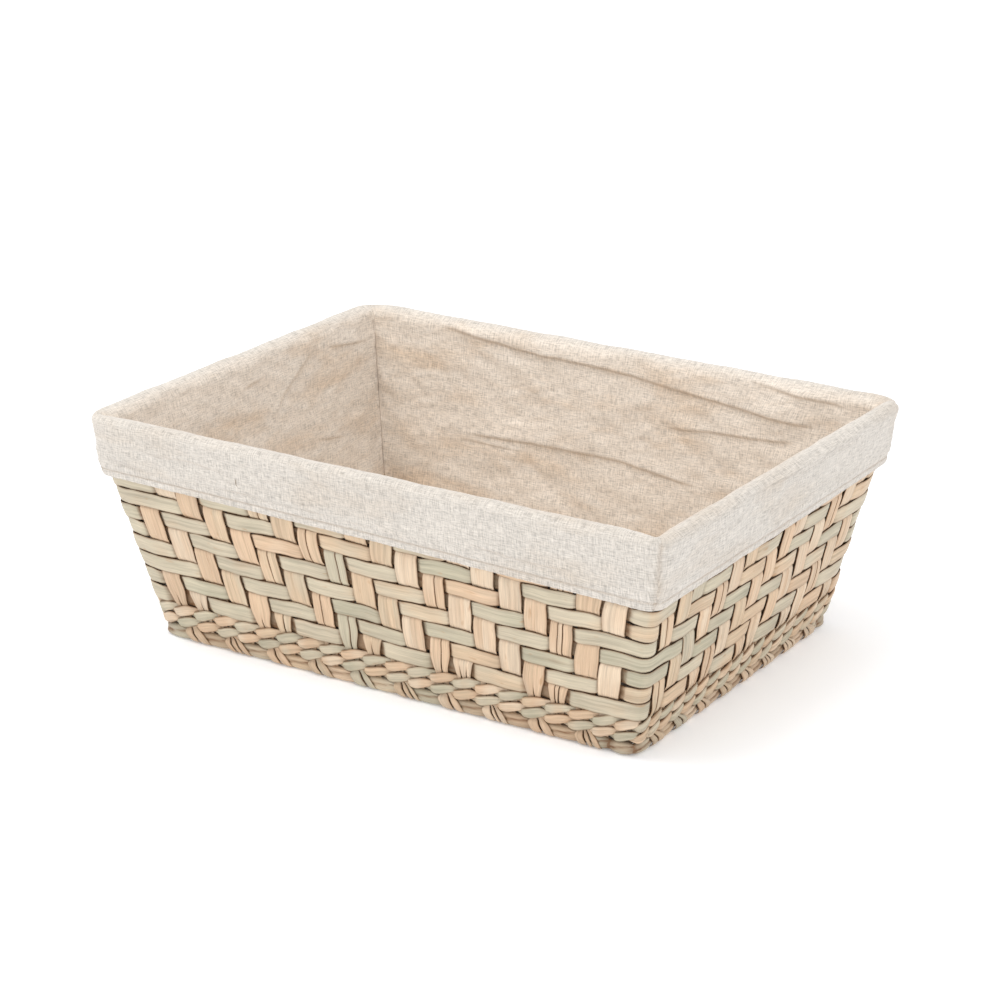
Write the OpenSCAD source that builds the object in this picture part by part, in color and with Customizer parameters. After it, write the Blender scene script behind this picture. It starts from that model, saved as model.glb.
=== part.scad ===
// Lined bread basket: a tapered rectangular basket twill-woven from flat leaf strips,
// with a lift-out cloth liner whose cuff folds down over the rim.
// Millimetres. Origin at the centre of the face it stands on, +Z up, +X along the length.

/* [Basket] */
// Length over the cuffed rim
rim_l = 360; // [320:5:400]
// Width over the cuffed rim
rim_w = 270; // [240:5:300]
// Height from the table to the crest of the rim
basket_h = 130; // [126:1:150]
// Length over the foot
foot_l = 302; // [270:2:320]
// Width over the foot
foot_w = 217; // [190:2:230]
// Corner radius of the woven wall at the foot
foot_r = 9.3; // [8:0.1:10]
// Corner radius of the woven wall at the rim
rim_r = 11.3; // [11:0.1:14]

/* [Weave] */
// Stakes (upright strips) on each long side, an even number
long_stakes = 20; // [12:2:20]
// Stakes on each short side, an even number
short_stakes = 16; // [8:2:16]
// Share of its pitch that a stake covers
stake_cover = 0.82; // [0.6:0.01:0.84]
// Height of a weft strip
weft_h = 7.2; // [5:0.1:7.6]
// Distance from one weft row to the next
weft_pitch = 9.4; // [9:0.1:9.4]
// Thickness of a leaf strip
leaf_t = 0.9; // [0.5:0.1:1]
// Free space between a stake and a weft strip
leaf_gap = 0.2; // [0.15:0.05:0.3]
// Height of the lowest weft row's middle
lowest_weft_z = 28; // [27.5:0.5:28.5]
// Shift of the long sides' stakes, in stake pitches
long_shift = 0.13; // [-0.2:0.01:0.2]
// Shift of the short sides' stakes, in stake pitches
short_shift = -0.28; // [-0.3:0.01:0.3]

/* [Twining and foot] */
// Height of the upper twined band's middle
upper_twine_z = 18.1; // [18:0.1:18.4]
// Height of the lower twined band's middle
lower_twine_z = 11.9; // [11.7:0.1:12]
// Height of one twining strand
twine_h = 2.4; // [1.5:0.1:2.4]
// Thickness of one twining strand
twine_t = 1.1; // [0.8:0.1:1.2]
// How far a twining strand climbs or falls about its band's middle
twine_rise = 1.5; // [1.3:0.1:1.5]
// Height of the foot border's core
foot_core_h = 8; // [6:0.5:8]
// Half thickness of the foot border's core
foot_core_half = 2; // [1.5:0.1:2.5]

/* [Rim] */
// Outer radius of the cloth roll over the rim
roll_r = 6; // [6:0.1:7]
// Radius of the rim's core bundle
rim_core_r = 3.3; // [2.5:0.1:3.3]
// How far the rim's core stands inside the middle of the woven wall
rim_set = 3.2; // [3:0.1:3.4]

/* [Liner] */
// Thickness of the cloth
cloth_t = 0.7; // [0.5:0.1:0.8]
// Height of the cuff's lower edge above the table
cuff_z = 93; // [88:1:98]
// Depth of the hem along the cuff's lower edge
hem_h = 6.5; // [6:0.5:8]
// Width of the elastic in the hem
elastic_w = 4.5; // [3:0.5:5]

/* [Hidden] */
LEAF = [0.86, 0.72, 0.56];
WEFT_LEAF = [0.73, 0.70, 0.58];
CLOTH = [0.87, 0.84, 0.79];
ELASTIC = [0.95, 0.94, 0.92];
// Weft rows (level strips), counted down from the rim: one node each
weft_rows = 10;
twine_z = [upper_twine_z, lower_twine_z];

// Woven wall: its middle surface, given by half lengths that grow with height
wall_half = leaf_t + leaf_gap / 2;
roll_z = basket_h - roll_r;
half_l0 = foot_l / 2 - wall_half;
half_w0 = foot_w / 2 - wall_half;
slope_l = (rim_l / 2 - roll_r + rim_set - half_l0) / roll_z;
slope_w = (rim_w / 2 - roll_r + rim_set - half_w0) / roll_z;
function half_l(z) = half_l0 + slope_l * z;
function half_w(z) = half_w0 + slope_w * z;
function corner_r(z) = foot_r + (rim_r - foot_r) * z / basket_h;

// Sides run front, right, back, left. Each has its length, its stake count and its shift.
SIDES = 4;
function is_long(k) = k % 2 == 0;
function side_half(k, z) = is_long(k) ? half_l(z) : half_w(z);
function side_depth(k, z) = is_long(k) ? half_w(z) : half_l(z);
function stakes_on(k) = is_long(k) ? long_stakes : short_stakes;
function side_shift(k) = is_long(k) ? long_shift : short_shift;
// Pitches from the last stake's middle to the wall's sharp corner
long_end_gap = 1.43;
short_end_gap = 1.52;
function end_gap(k) = is_long(k) ? long_end_gap : short_end_gap;
function pitch(k, z) = 2 * side_half(k, z) / (stakes_on(k) - 1 + 2 * end_gap(k));
function turn(k, p) = [
  p[0] * cos(90 * k) - p[1] * sin(90 * k),
  p[0] * sin(90 * k) + p[1] * cos(90 * k),
  p[2]
];

// A point on side k: s along the wall from the side's middle, at height z, off outwards.
// Past the straight stretch it runs on round the corner.
function wall_point(k, s, z, off) =
  let (
    r = corner_r(z),
    straight = side_half(k, z) - r,
    over = abs(s) - straight,
    angle = over / r * 180 / PI,
    side = sign(s),
    flat_depth = side_depth(k, z)
  )
  over <= 0
    ? turn(k, [s, -flat_depth - off, z])
    : turn(k, [
        side * (straight + (r + off) * sin(angle)),
        -(flat_depth - r) - (r + off) * cos(angle),
        z
      ]);

// A station on side k is ["q", stake number, off] or ["phi", angle round the corner, off]
function station_s(k, st, z) =
  st[0] == "q"
    ? (st[1] - (stakes_on(k) - 1) / 2 + side_shift(k)) * pitch(k, z)
    : sign(st[1]) * (side_half(k, z) - corner_r(z) + corner_r(z) * abs(st[1]) * PI / 180);
// The corner's own ends, just off zero so that their sign says which end they are
ARC_START = 0.01;

// Faces of a sweep of n sections with m points each
function loop_faces(n, m, closed) = [
  for (i = [0 : n - (closed ? 1 : 2)])
    for (j = [0 : m - 1])
      let (
        a = i * m + j,
        b = i * m + (j + 1) % m,
        c = ((i + 1) % n) * m + (j + 1) % m,
        d = ((i + 1) % n) * m + j
      )
      each [[a, c, b], [a, d, c]]
];
// A section lists its outer edge, then its inner edge back again, so a cap is a strip of quads
function cap_faces(n, m) = [
  for (j = [0 : m / 2 - 2])
    let (back = m - 1 - j, last = (n - 1) * m)
    each [
      [j, j + 1, back - 1, back],
      [last + back, last + back - 1, last + j + 1, last + j]
    ]
];
module sweep(sections, closed) {
  n = len(sections);
  m = len(sections[0]);
  polyhedron(
    points = [for (s = sections) each s],
    faces = concat(loop_faces(n, m, closed), closed ? [] : cap_faces(n, m)),
    convexity = 10
  );
}

// Twill: true where row r's weft lies outside stake j of side k
function weft_outside(k, j, r) =
  is_long(k) ? (j - r + 11) % 4 < 2 : (j + r + 2) % 4 < 2;
layer = (leaf_t + leaf_gap) / 2;
function weft_off(k, j, r) = weft_outside(k, j, r) ? layer : -layer;
function row_z(r) = lowest_weft_z + (weft_rows - 1 - r) * weft_pitch;
half_cover = stake_cover / 2;

// One weft ring: it changes side between stakes, and always turns the corners outside
EDGE = 0.02;
function weft_side(k, r) =
  let (last = stakes_on(k) - 1)
  concat(
    [["phi", -45, layer], ["phi", -22, layer], ["phi", -ARC_START, weft_off(k, 0, r)]],
    [
      for (j = [0 : last - 1])
        if (weft_outside(k, j, r) != weft_outside(k, j + 1, r))
          each [
            ["q", j + half_cover + EDGE, weft_off(k, j, r)],
            ["q", j + 1 - half_cover - EDGE, weft_off(k, j + 1, r)]
          ]
    ],
    [["phi", ARC_START, weft_off(k, last, r)], ["phi", 22, layer]]
  );
function strip_section(k, st, z, h, t) = [
  for (c = [[-1, -1], [1, -1], [1, 1], [-1, 1]])
    let (zz = z + c[1] * h / 2)
    wall_point(k, station_s(k, st, zz), zz, st[2] + c[0] * t / 2)
];
module weft_row(r) {
  color(WEFT_LEAF)
    sweep([
      for (k = [0 : SIDES - 1])
        for (st = weft_side(k, r))
          strip_section(k, st, row_z(r), weft_h, leaf_t)
    ], true);
}

// Stakes: up through the weave, behind or in front of each row, and on to the rim and foot
ROW_CLEAR = 0.15;
CORE_CLEAR = 0.12;
rim_stake_off = -rim_set + rim_core_r + CORE_CLEAR + leaf_t / 2;
foot_mid_off = -1.5;
foot_stake_off = foot_core_half + CORE_CLEAR + leaf_t / 2;
stake_foot_z = 0.6;
foot_bend_h = 1.5;
rim_bend_h = 4;
rim_tail_h = 0.5;
function stake_off(k, j, r) = -weft_off(k, j, r);
function stake_turns(k, j, r) =
  r > 0 && weft_outside(k, j, r) != weft_outside(k, j, r - 1);
function stake_path(k, j) =
  let (
    foot_off = foot_mid_off + (j % 2 == 0 ? 1 : -1) * foot_stake_off,
    half_row = weft_h / 2 + ROW_CLEAR,
    twine_top = twine_z[0] + twine_rise + twine_h / 2
  )
  concat(
    [
      [stake_foot_z, foot_off],
      [foot_core_h - stake_foot_z, foot_off],
      [foot_core_h - stake_foot_z + foot_bend_h, 0],
      [twine_top + leaf_gap, 0],
      [row_z(weft_rows - 1) - half_row, stake_off(k, j, weft_rows - 1)]
    ],
    [
      for (r = [weft_rows - 1 : -1 : 1])
        if (stake_turns(k, j, r))
          each [
            [row_z(r) + half_row, stake_off(k, j, r)],
            [row_z(r - 1) - half_row, stake_off(k, j, r - 1)]
          ]
    ],
    [
      [row_z(0) + half_row, stake_off(k, j, 0)],
      [roll_z - rim_bend_h, 0],
      [roll_z, rim_stake_off],
      [roll_z + rim_tail_h, rim_stake_off]
    ]
  );
module stake(k, j) {
  sweep([
    for (p = stake_path(k, j))
      let (
        mid = station_s(k, ["q", j, 0], p[0]),
        half = half_cover * pitch(k, p[0])
      )
      [
        wall_point(k, mid - half, p[0], p[1] - leaf_t / 2),
        wall_point(k, mid - half, p[0], p[1] + leaf_t / 2),
        wall_point(k, mid + half, p[0], p[1] + leaf_t / 2),
        wall_point(k, mid + half, p[0], p[1] - leaf_t / 2)
      ]
  ], false);
}
module stakes(k) {
  color(LEAF)
    for (j = [0 : stakes_on(k) - 1])
      stake(k, j);
}

// Twining: two strands that cross between stakes, one climbing outside as the other falls inside
TWINE_CLEAR = 0.15;
twine_off = leaf_t / 2 + TWINE_CLEAR + twine_t / 2;
function twine_side(k, lead) =
  let (
    corner_rise = lead ? -twine_rise : twine_rise,
    ends = half_cover + EDGE
  )
  concat(
    [["phi", -45, 0, corner_rise], ["phi", -22, 0, corner_rise]],
    [
      for (j = [0 : stakes_on(k) - 1])
        let (
          outside = (j % 2 == 0) == lead,
          off = outside ? twine_off : -twine_off,
          rise = outside ? twine_rise : -twine_rise
        )
        each [["q", j - ends, off, -rise], ["q", j + ends, off, rise]]
    ],
    [["phi", 22, 0, corner_rise]]
  );
module twine(band, lead) {
  color(lead ? LEAF : WEFT_LEAF)
    sweep([
      for (k = [0 : SIDES - 1])
        for (st = twine_side(k, lead))
          strip_section(k, st, twine_z[band] + st[3], twine_h, twine_t)
    ], true);
}

// Rings and panels with any section, given as [off, z] points
RING_STOPS = [-45, -22, -ARC_START, ARC_START, 22];
PANEL_STOPS = [-45, -22, -ARC_START, ARC_START, 22, 45];
function profile_section(k, phi, profile) = [
  for (p = profile) wall_point(k, station_s(k, ["phi", phi], p[1]), p[1], p[0])
];
module ring(profile) {
  sweep([
    for (k = [0 : SIDES - 1])
      for (phi = RING_STOPS)
        profile_section(k, phi, profile)
  ], true);
}
module panel(k, profile) {
  sweep([for (phi = PANEL_STOPS) profile_section(k, phi, profile)], false);
}
function arc(mid_off, mid_z, r, from, to, steps) = [
  for (i = [0 : steps])
    let (a = from + (to - from) * i / steps)
    [mid_off + r * cos(a), mid_z + r * sin(a)]
];

// Foot border's core: flat below, where the basket stands
module foot_core() {
  chamfer = 1;
  lo = foot_mid_off - foot_core_half;
  hi = foot_mid_off + foot_core_half;
  color(LEAF)
    ring([
      [lo, 0], [lo, foot_core_h - chamfer], [lo + chamfer, foot_core_h],
      [hi - chamfer, foot_core_h], [hi, foot_core_h - chamfer], [hi, 0]
    ]);
}
module rim_core() {
  sides = 10;
  color(LEAF)
    ring([for (i = [0 : sides - 1]) arc(-rim_set, roll_z, rim_core_r, 180, -180, sides)[i]]);
}
binding_r = 4.95;
binding_t = 0.45;
module rim_binding() {
  color(WEFT_LEAF)
    ring(concat(
      arc(-rim_set, roll_z, binding_r, 205, -20, 6),
      arc(-rim_set, roll_z, binding_r - binding_t, -20, 205, 6)
    ));
}

// Base: two layers of flat strips, level with the sides' stakes
base_edge = 5;
base_z = 1.5;
base_gap = 0.2;
module base_strips(along_x) {
  k = along_x ? 1 : 0;
  reach = side_depth(k, base_z) - base_edge;
  z = base_z + (along_x ? leaf_t + base_gap : 0);
  strip_w = stake_cover * pitch(k, base_z);
  color(along_x ? WEFT_LEAF : LEAF)
    for (j = [0 : stakes_on(k) - 1]) {
      mid = (j - (stakes_on(k) - 1) / 2) * pitch(k, base_z);
      rotate([0, 0, 90 * k])
        translate([mid - strip_w / 2, -reach, z])
          cube([strip_w, 2 * reach, leaf_t]);
    }
}
module base_strips_long() { base_strips(true); }
module base_strips_cross() { base_strips(false); }

// Liner: a floor, four walls that lean a little steeper than the basket, and the cuff
BODY_GAP = 0.4;
liner_z = base_z + 2 * leaf_t + base_gap + BODY_GAP;
liner_foot_off = -5.3;
roll_inner_r = roll_r - cloth_t;
liner_top_off = -rim_set - roll_inner_r;
liner_wall_z = liner_z + cloth_t;
module liner_floor() {
  z = liner_z;
  color(CLOTH)
    translate([0, 0, z])
      linear_extrude(cloth_t)
        polygon([
          for (k = [0 : SIDES - 1])
            for (phi = [-45, -22, -ARC_START, ARC_START, 22])
              let (p = wall_point(k, station_s(k, ["phi", phi], z), z, liner_foot_off))
              [p[0], p[1]]
        ]);
}
module liner_wall(k) {
  color(CLOTH)
    panel(k, [
      [liner_foot_off - cloth_t, liner_wall_z], [liner_top_off - cloth_t, roll_z],
      [liner_top_off, roll_z], [liner_foot_off, liner_wall_z]
    ]);
}
// The cuff: over the rim, down the outside, and turned back up inside its own hem
shoulder_drop = 8;
cuff_shoulder_z = roll_z - shoulder_drop;
cuff_in = wall_half + 0.5;
shoulder_in = cuff_in + 0.15;
// The hem's two layers of cloth and the slot between them, which holds the elastic
hem_layer_in = 0.45;
hem_slot = 0.55;
hem_fold = 0.6;
slot_in = cuff_in + hem_layer_in;
slot_out = slot_in + hem_slot;
hem_out = slot_out + hem_fold;
module cuff(k) {
  hem_z = cuff_z + hem_h;
  color(CLOTH)
    panel(k, concat(
      arc(-rim_set, roll_z, roll_r, 180, 0, 6),
      [[shoulder_in + cloth_t, cuff_shoulder_z], [hem_out, hem_z], [hem_out, cuff_z]],
      [[cuff_in, cuff_z], [cuff_in, hem_z]],
      [[slot_in, hem_z], [slot_in, cuff_z + hem_fold]],
      [[slot_out, cuff_z + hem_fold], [slot_out, hem_z], [shoulder_in, cuff_shoulder_z]],
      arc(-rim_set, roll_z, roll_inner_r, 0, 180, 6)
    ));
}
module hem_elastic() {
  side_gap = 0.1;
  lo = cuff_z + hem_fold + 0.3;
  hi = lo + elastic_w;
  near = slot_in + side_gap;
  far = slot_out - side_gap;
  color(ELASTIC)
    ring([[near, lo], [near, hi], [far, hi], [far, lo]]);
}

base_strips_long();
base_strips_cross();
stakes(0);  // stakes_front
stakes(1);  // stakes_right
stakes(2);  // stakes_back
stakes(3);  // stakes_left
weft_row(0);  // weft_row_01
weft_row(1);  // weft_row_02
weft_row(2);  // weft_row_03
weft_row(3);  // weft_row_04
weft_row(4);  // weft_row_05
weft_row(5);  // weft_row_06
weft_row(6);  // weft_row_07
weft_row(7);  // weft_row_08
weft_row(8);  // weft_row_09
weft_row(9);  // weft_row_10
twine(0, true);  // twine_upper_a
twine(0, false);  // twine_upper_b
twine(1, true);  // twine_lower_a
twine(1, false);  // twine_lower_b
foot_core();
rim_core();
rim_binding();
liner_floor();
liner_wall(0);  // liner_wall_front
liner_wall(1);  // liner_wall_right
liner_wall(2);  // liner_wall_back
liner_wall(3);  // liner_wall_left
cuff(0);  // cuff_front
cuff(1);  // cuff_right
cuff(2);  // cuff_back
cuff(3);  // cuff_left
hem_elastic();
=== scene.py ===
"""A lined bread basket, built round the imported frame: leaf strips woven in a 2/2 twill,
two twined bands, a bound foot and rim, and a cloth liner whose cuff folds over the rim."""

import math

import bpy
import numpy as np
from mathutils import Matrix, Vector


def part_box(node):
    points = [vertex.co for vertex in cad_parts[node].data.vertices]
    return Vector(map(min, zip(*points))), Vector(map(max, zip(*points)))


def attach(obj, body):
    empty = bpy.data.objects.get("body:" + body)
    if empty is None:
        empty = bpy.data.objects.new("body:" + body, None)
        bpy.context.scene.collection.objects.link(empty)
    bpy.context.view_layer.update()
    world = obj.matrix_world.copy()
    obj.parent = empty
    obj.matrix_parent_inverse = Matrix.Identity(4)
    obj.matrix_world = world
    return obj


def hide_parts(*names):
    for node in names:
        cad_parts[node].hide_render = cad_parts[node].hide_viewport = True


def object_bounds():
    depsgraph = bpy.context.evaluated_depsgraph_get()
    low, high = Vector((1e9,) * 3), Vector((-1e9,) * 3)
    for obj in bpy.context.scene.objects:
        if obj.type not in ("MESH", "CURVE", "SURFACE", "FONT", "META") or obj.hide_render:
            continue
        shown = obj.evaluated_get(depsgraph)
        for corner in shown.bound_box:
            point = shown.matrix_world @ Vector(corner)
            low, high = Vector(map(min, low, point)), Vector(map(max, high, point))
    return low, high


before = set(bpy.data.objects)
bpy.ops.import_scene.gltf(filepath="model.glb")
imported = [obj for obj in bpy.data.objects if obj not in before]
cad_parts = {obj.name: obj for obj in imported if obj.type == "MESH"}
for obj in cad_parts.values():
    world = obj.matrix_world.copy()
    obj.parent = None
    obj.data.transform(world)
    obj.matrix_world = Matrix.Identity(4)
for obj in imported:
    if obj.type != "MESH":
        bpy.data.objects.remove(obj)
CAD_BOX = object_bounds()
MM = 0.001

# ---------------------------------------------------------------- the wall, from the frame
SIDES = ("front", "right", "back", "left")
STAKES = (20, 16, 20, 16)
ROWS = 10
CORNER_R = (3.8 * MM, 10.0 * MM)  # of the wall's middle: the weave's, and the rounder rim's
END_GAP = (1.43, 1.52)  # stake pitches from the last stake to the corner, long and short sides
SHIFT = (0.13, -0.28)  # stake pitches by which a side's stakes stand off its middle
CAD_CREST = 1.0 * MM  # how far the CAD's weft stands outside the wall's middle
RELIEF = 0.93 * MM  # how far a strip's middle stands outside or inside the wall's middle
row_boxes = [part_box(f"weft_row_{r + 1:02d}") for r in range(ROWS)]
ROW_Z = [(lo.z + hi.z) / 2 for lo, hi in row_boxes]
ROW_PITCH = (ROW_Z[0] - ROW_Z[-1]) / (ROWS - 1)
TOP, LOW = row_boxes[0][1], row_boxes[-1][1]
RIM_H = CAD_BOX[1].z
ROLL_Z = sum(p.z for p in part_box("rim_core")) / 2
ROLL_OFF = -3.2 * MM  # the middle of the rim's roll, from the wall's middle
BAND_Z = [sum(p.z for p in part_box(f"twine_{n}_a")) / 2 for n in ("upper", "lower")]
FOOT_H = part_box("foot_core")[1].z


def half_extent(axis, z):
    """Half length (axis 0) or half width (axis 1) of the wall's middle surface at height z."""
    slope = (TOP[axis] - LOW[axis]) / (TOP.z - LOW.z)
    return LOW[axis] - CAD_CREST + slope * (z - LOW.z)


def corner_radius(z):
    """The bend grows rounder over the wall's top quarter."""
    return CORNER_R[0] + (CORNER_R[1] - CORNER_R[0]) * smooth((z / RIM_H - 0.76) / 0.22)


def side_half(k, z):
    return half_extent(k % 2, z)


def corner_s(k, z):
    """Distance along the wall from a side's middle to the middle of its corner."""
    r = corner_radius(z)
    return side_half(k, z) - r + r * math.pi / 4


def wall(k, s, z, off):
    """Points off outside the wall's middle, s along side k (to the right, seen from outside)."""
    r = corner_radius(z)
    straight = side_half(k, z) - r
    out = np.maximum(r + off, 0.7 * MM)
    # Where the bend starts, which is nearer the side's middle for points well inside the wall
    reach = side_half(k, z) + off - out
    depth = half_extent(1 - k % 2, z) + off
    over = np.abs(s) - straight
    angle = np.clip(over / r, 0, math.pi / 2)
    x = np.where(over > 0, np.sign(s) * (reach + out * np.sin(angle)), s * reach / straight)
    y = np.where(over > 0, -(depth - out) - out * np.cos(angle), -depth)
    for _ in range(k):
        x, y = -y, x
    return np.stack(np.broadcast_arrays(x, y, z), axis=-1)


def wall_at(k, fraction, z, off):
    """The same, at a fraction of the way from the side's middle to its corner's middle."""
    return wall(k, fraction[:, None] * corner_s(k, z), z, off)


def round_basket(z, step):
    """Each side in turn at height z: its number, stations, half length, and the distance gone."""
    travelled = 0.0
    for k in range(4):
        end = corner_s(k, z)
        s = np.linspace(-end, end, int(2 * end / step), endpoint=False)
        yield k, s, end, travelled + s + end
        travelled += 2 * end


def smooth(t):
    t = np.clip(t, 0, 1)
    return t * t * (3 - 2 * t)


def bump(x, centre, width):
    return np.exp(-(((x - centre) / width) ** 2))


def wander(x, seed, wave, octaves=3):
    """Smooth noise of about -1 to 1 along x."""
    rng = np.random.default_rng(seed)
    total = np.zeros_like(np.asarray(x, float))
    for i in range(octaves):
        turns = np.asarray(x) * 1.7**i / wave * rng.uniform(0.8, 1.2)
        total = total + 0.62**i * np.sin(2 * math.pi * (turns + rng.random()))
    return total / 1.6


# How far the front left and back right corners give way, and how far from them that reaches
ROUNDED, ROUNDED_REACH = 2.3 * MM, 11 * MM


def hand_made(points):
    """Moves points of the weave by the slow unevenness of hand work, the same for every strip."""
    x, y, z = points[..., 0], points[..., 1], points[..., 2]
    grow = smooth((z - 2 * MM) / (26 * MM)) * (1 - 0.8 * smooth((z - 100 * MM) / (20 * MM)))
    along = x + 0.7 * y
    across = y - 0.7 * x
    moved = points.copy()
    moved[..., 2] += 0.55 * MM * grow * wander(along, 11, 90 * MM) * wander(z, 12, 160 * MM, 1)
    moved[..., 2] += 0.35 * MM * grow * wander(across, 13, 70 * MM)
    moved[..., 0] += 0.5 * MM * grow * wander(z + 0.4 * y, 14, 80 * MM)
    moved[..., 1] += 0.5 * MM * grow * wander(z + 0.4 * x, 15, 80 * MM)
    settle = smooth(z / (4 * MM)) * (1 - smooth((z - 104 * MM) / (12 * MM)))
    for way in (-1, 1):
        depth_x, depth_y = (way * (half_extent(axis, z) + RELIEF) for axis in (0, 1))
        near = bump(np.hypot(x - depth_x, y - depth_y), 0, ROUNDED_REACH)
        moved[..., 0] -= way * ROUNDED * near * settle
        moved[..., 1] -= way * ROUNDED * near * settle
    return moved


# ---------------------------------------------------------------- meshes of strips
UV_STEP = (0.731, 1.37)  # how far apart two seeds lie in the leaf's pattern, in metres


class Strips:
    """Closed ribbons gathered into one mesh, with a UV map in metres (across, along)."""

    def __init__(self):
        self.points, self.faces, self.uvs = [], [], []
        self.tone, self.shade, self.edge = [], [], []
        self.count = 0

    def add(self, grid, across, along, closed, tone, shade, edge, seed):
        """grid is (stations, section points, 3); the section is a closed loop."""
        n, m = grid.shape[:2]
        step = along[1] - along[0]
        u0, v0 = seed * UV_STEP[0], seed * UV_STEP[1]
        for i in range(n if closed else n - 1):
            nxt = (i + 1) % n
            end = along[i] + step if nxt == 0 else along[nxt]
            for j in range(m):
                k = (j + 1) % m
                quad = (i * m + j, nxt * m + j, nxt * m + k, i * m + k)
                self.faces.append([self.count + a for a in quad])
                for a, v, b in ((i, along[i], j), (nxt, end, j), (nxt, end, k), (i, along[i], k)):
                    self.uvs.append((across[a, b] + u0, v + v0))
        if not closed:
            for i, order in ((0, range(m)), (n - 1, range(m - 1, -1, -1))):
                self.faces.append([self.count + i * m + j for j in order])
                self.uvs.extend((across[i, j] + u0, along[i] + v0) for j in order)
        self.points.append(grid.reshape(-1, 3))
        for store, value in ((self.tone, tone), (self.shade, shade), (self.edge, edge)):
            store.append(np.broadcast_to(value, (n, m)).ravel())
        self.count += n * m

    def build(self, name, material, body, nodes):
        mesh = bpy.data.meshes.new(name)
        mesh.from_pydata(np.concatenate(self.points).tolist(), [], self.faces)
        layer = mesh.uv_layers.new(name="strip")
        layer.data.foreach_set("uv", np.array(self.uvs, np.float32).ravel())
        for word, store in (("tone", self.tone), ("shade", self.shade), ("edge", self.edge)):
            attribute = mesh.attributes.new(word, "FLOAT", "POINT")
            attribute.data.foreach_set("value", np.concatenate(store).astype(np.float32))
        return finish_piece(name, mesh, material, body, nodes)


def placed(name, data):
    thing = bpy.data.objects.new(name, data)
    bpy.context.scene.collection.objects.link(thing)
    return thing


def finish_piece(name, mesh, material, body, nodes):
    mesh.validate()
    mesh.polygons.foreach_set("use_smooth", [True] * len(mesh.polygons))
    mesh.materials.append(material)
    piece = placed(name, mesh)
    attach(piece, body)
    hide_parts(*nodes)
    return piece


# A ribbon's section: u runs across its face from -1 to 1, then back along its inner face
FACE_U = np.array([-1, -0.93, -0.8, -0.6, -0.4, -0.2, 0, 0.2, 0.4, 0.6, 0.8, 0.93, 1])
LOOP_U = np.concatenate([FACE_U, FACE_U[::-1]])
LOOP_SIDE = np.concatenate([np.ones(len(FACE_U)), -np.ones(len(FACE_U))])
LEAF_T = 0.62 * MM
FLOAT_BOW = 0.22 * MM  # how far a strip bows out where it passes over two


def ribbon_off(mid, crown, fold, t=LEAF_T):
    """Offsets (stations, section points) of a ribbon with a crowned, creased face."""
    thick = t / 2 * np.where(np.abs(LOOP_U) > 0.97, 0.35, np.where(np.abs(LOOP_U) > 0.9, 0.8, 1))
    shape = crown[:, None] * (0.55 - LOOP_U**2) + fold
    return mid[:, None] + shape + LOOP_SIDE * thick


def leaf_ring(node, grid, across, along, tone, shade, edge, seed):
    """One closed strip right round the basket, as the piece that stands for a CAD node."""
    strips = Strips()
    tone, shade = (np.reshape(v, (-1, 1)) for v in (tone, shade))
    strips.add(grid, np.broadcast_to(across, grid.shape[:2]), along, True, tone, shade, edge, seed)
    strips.build(node + "_leaf", LEAF, "basket", [node])


def folds(along, seed, count, depth):
    """Creases along a leaf strip, which drift across it slowly."""
    rng = np.random.default_rng(seed)
    total = np.zeros((len(along), len(LOOP_U)))
    for i in range(count):
        place = rng.uniform(-0.65, 0.65) + 0.12 * wander(along, seed * 7 + i, 90 * MM)
        width = rng.uniform(0.09, 0.17)
        deep = depth * rng.uniform(0.5, 1) * (0.75 + 0.35 * wander(along, seed * 5 + i, 50 * MM))
        total -= deep[:, None] * np.exp(-(((LOOP_U - place[:, None]) / width) ** 2))
    return total


# Darker cut edges of each strip: partly the leaf's own browned edges, partly painted shade of the gaps
# between strips
EDGE_WEAR_AND_SHADE = np.clip((np.abs(LOOP_U) - 0.78) / 0.22, 0, 1) ** 1.6


def painted_gap_shade(side):
    """How far each point of a ribbon lies against the strip that crosses it: painted shade, dark in the
    gaps.
    """
    facing = np.where(LOOP_SIDE > 0, side[:, None], -side[:, None])
    return 0.95 * smooth((0.3 - facing) / 0.8)


def is_outside(k, j, r):
    """Twill: True where row r's weft lies outside stake j of side k."""
    return (j - r + 11) % 4 < 2 if k % 2 == 0 else (j + r + 2) % 4 < 2


NUDGE = [
    [1.1 * MM * float(wander(j + 0.37, 40 + k, 3.1, 3)) for j in range(STAKES[k])] for k in range(4)
]


def stake_pitch(k, z):
    return 2 * side_half(k, z) / (STAKES[k] - 1 + 2 * END_GAP[k % 2])


def stake_s(k, q, z):
    """Where stake number q stands on side k at height z; q may lie between stakes."""
    n = STAKES[k]
    nudge = np.interp(q, [-1, *range(n), n], [0, *NUDGE[k], 0])
    fade = 0.4 + 0.6 * np.clip(z / (60 * MM), 0, 1)
    return (q - (n - 1) / 2 + SHIFT[k % 2]) * stake_pitch(k, z) + nudge * fade


def joined(parts):
    """The four sides' columns, each as one array right round the basket."""
    return (np.concatenate(column) for column in zip(*parts))


def stepping(x, states, edges, half):
    """Follows states (1 or -1), changing smoothly at each edge between two of them."""
    total = np.full_like(x, float(states[0]))
    for a, b, e in zip(states, states[1:], edges):
        if a != b:
            total = total + (b - a) * smooth((x - e) / (2 * half) + 0.5)
    return total


# ---------------------------------------------------------------- materials
def rgba(color):
    return (*color, 1) if isinstance(color, tuple) else (color, color, color, 1)


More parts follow.
